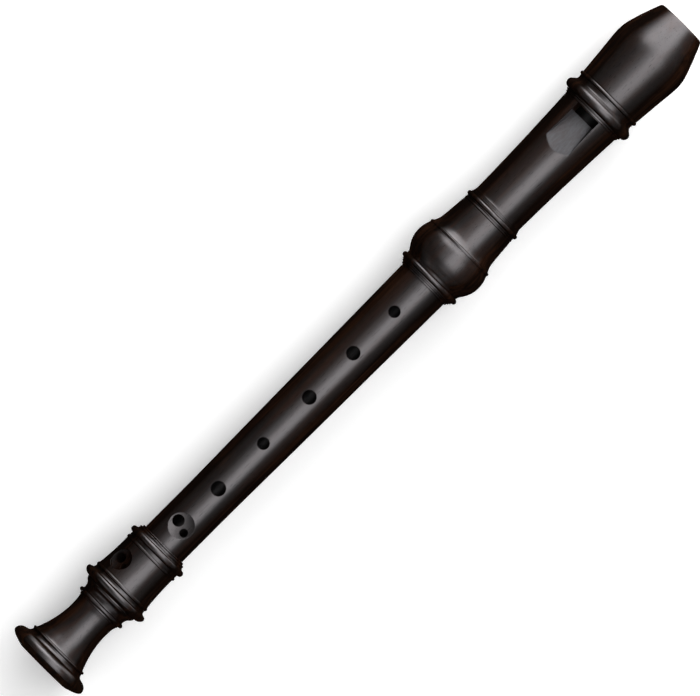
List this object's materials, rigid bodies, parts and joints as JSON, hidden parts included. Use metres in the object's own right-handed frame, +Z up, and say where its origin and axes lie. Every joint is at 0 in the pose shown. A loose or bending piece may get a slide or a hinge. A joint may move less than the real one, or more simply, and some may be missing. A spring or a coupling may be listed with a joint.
{
  "type": "recorder",
  "caption": "Three-piece baroque-style soprano recorder in dark wood, lying on its back: turned head with window and block, tapering body and ringed foot, joined by corked tenons.",
  "frame": {"origin": "on the floor under the middle of the recorder, as it lies on its back on the foot's rim and the ring below the beak", "axes": "+X along the recorder towards the beak, +Z up through the window and the finger holes"},
  "size_m": [0.3252, 0.0334, 0.0333],
  "materials": {
    "grenadilla": "oiled, with a satin polish",
    "cedar": "bare, planed",
    "cork": "sanded sheet cork, greased"
  },
  "bodies": {
    "middle": {"middle_joint": "grenadilla"},
    "upper_cork": {"upper_tenon_cork": "cork"},
    "head": {"head_joint": "grenadilla"},
    "block": {"block": "cedar"},
    "lower_cork": {"lower_tenon_cork": "cork"},
    "foot": {"foot_joint": "grenadilla"}
  },
  "joints": [
    {"name": "head_turn", "type": "hinge", "parent": "middle", "child": "upper_cork", "pos_m": [0.0309, 0, 0.01558], "axis": [1, 0, -0.0056], "continuous": true},
    {"name": "head_pull", "type": "slide", "parent": "upper_cork", "child": "head", "axis": [1, 0, -0.0056], "range_m": [0, 0.024]},
    {"name": "block_out", "type": "slide", "parent": "head", "child": "block", "axis": [1, 0, -0.0056], "range_m": [0, 0.048]},
    {"name": "foot_turn", "type": "hinge", "parent": "middle", "child": "lower_cork", "pos_m": [-0.1009, 0, 0.01632], "axis": [1, 0, -0.0056], "continuous": true},
    {"name": "foot_pull", "type": "slide", "parent": "lower_cork", "child": "foot", "axis": [-1, 0, 0.0056], "range_m": [0, 0.013]}
  ]
}
